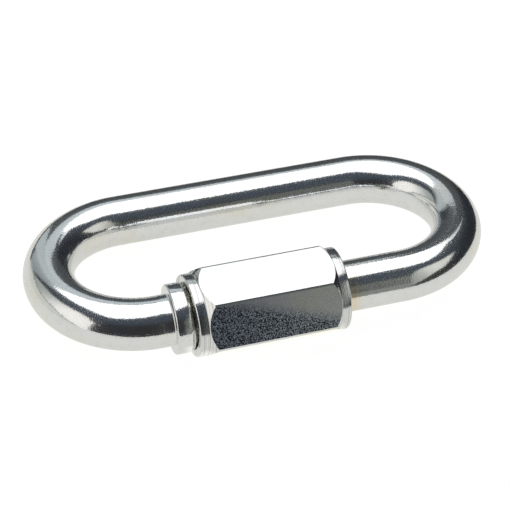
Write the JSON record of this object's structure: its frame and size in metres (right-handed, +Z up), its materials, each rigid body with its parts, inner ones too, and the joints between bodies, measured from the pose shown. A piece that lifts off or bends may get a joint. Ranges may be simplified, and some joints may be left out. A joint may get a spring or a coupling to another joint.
{
  "type": "chain quick link",
  "caption": "Oval quick link of bent zinc-plated steel rod, with a hexagonal sleeve nut that screws along its open side to close the mouth and join chain or cable.",
  "frame": {"origin": "on the ground, under the middle of the link's bounding box, as the link lies at rest", "axes": "+X along the link, from the stop collar towards the end that carries the nut; +Y towards the whole long side; +Z up"},
  "size_m": [0.074, 0.0386, 0.014],
  "materials": {
    "rod_zinc": "bright zinc plate on drawn steel rod",
    "nut_zinc": "bright zinc plate on turned hexagon steel"
  },
  "bodies": {
    "link": {"link_body": "rod_zinc"},
    "nut": {"sleeve_nut": "nut_zinc"}
  },
  "joints": [
    {"name": "nut_travel", "type": "slide", "parent": "link", "child": "nut", "axis": [1, 0, 0], "range_m": [0, 0.0125]}
  ]
}
